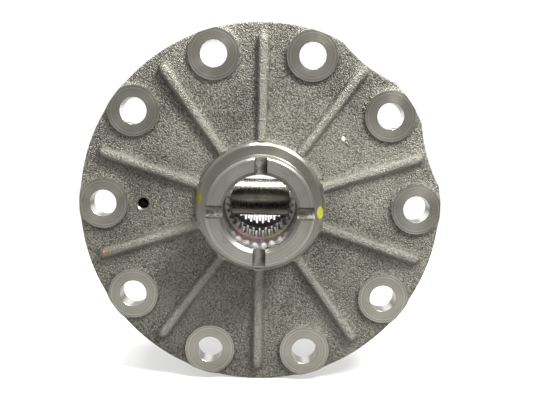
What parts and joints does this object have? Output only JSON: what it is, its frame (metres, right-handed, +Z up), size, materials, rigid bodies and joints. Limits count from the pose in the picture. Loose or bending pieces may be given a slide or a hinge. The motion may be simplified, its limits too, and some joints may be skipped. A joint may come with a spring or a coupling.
{
  "type": "open differential assembly",
  "caption": "Open differential in a one-piece cast case: ribbed round ring-gear flange, journals, two side gears and two pinions on a cross shaft.",
  "frame": {"origin": "where the axle axis and the cross shaft's axis meet, the apex of every gear's pitch cone", "axes": "+Y along the axle axis, from the ring-gear flange's ribbed side to the far journal; +X along the cross shaft, to the right as seen from the flange side; +Z up"},
  "size_m": [0.178, 0.1266, 0.178],
  "materials": {
    "case_cast_iron": "as cast, bead-blasted grain, machined faces bright",
    "side_gear_steel": "satin forged and machined",
    "pinion_gear_steel": "satin forged and machined",
    "cross_shaft_steel": "ground, dark, polished",
    "lock_pin_steel": "dark oxide",
    "thrust_washer_steel": "satin"
  },
  "bodies": {
    "case": {"differential_case": "case_cast_iron", "cross_shaft": "cross_shaft_steel", "cross_shaft_lock_pin": "lock_pin_steel", "flange_side_thrust_washer": "thrust_washer_steel", "far_side_thrust_washer": "thrust_washer_steel", "left_pinion_thrust_washer": "thrust_washer_steel", "right_pinion_thrust_washer": "thrust_washer_steel"},
    "flange_side_gear": {"flange_side_gear": "side_gear_steel"},
    "far_side_gear": {"far_side_gear": "side_gear_steel"},
    "left_pinion": {"left_pinion_gear": "pinion_gear_steel"},
    "right_pinion": {"right_pinion_gear": "pinion_gear_steel"}
  },
  "joints": [
    {"name": "flange_side_gear_spin", "type": "hinge", "parent": "case", "child": "flange_side_gear", "pos_m": [0, -0.03, 0], "axis": [0, 1, 0], "continuous": true},
    {"name": "far_side_gear_spin", "type": "hinge", "parent": "case", "child": "far_side_gear", "pos_m": [0, 0.03, 0], "axis": [0, 1, 0], "continuous": true},
    {"name": "right_pinion_spin", "type": "hinge", "parent": "case", "child": "right_pinion", "pos_m": [0.036, 0, 0], "axis": [1, 0, 0], "continuous": true},
    {"name": "left_pinion_spin", "type": "hinge", "parent": "case", "child": "left_pinion", "pos_m": [-0.036, 0, 0], "axis": [1, 0, 0], "continuous": true}
  ],
  "couplings": [
    {"joint": "far_side_gear_spin", "follows": "flange_side_gear_spin", "ratio": -1},
    {"joint": "right_pinion_spin", "follows": "flange_side_gear_spin", "ratio": 1.6},
    {"joint": "left_pinion_spin", "follows": "flange_side_gear_spin", "ratio": -1.6}
  ]
}
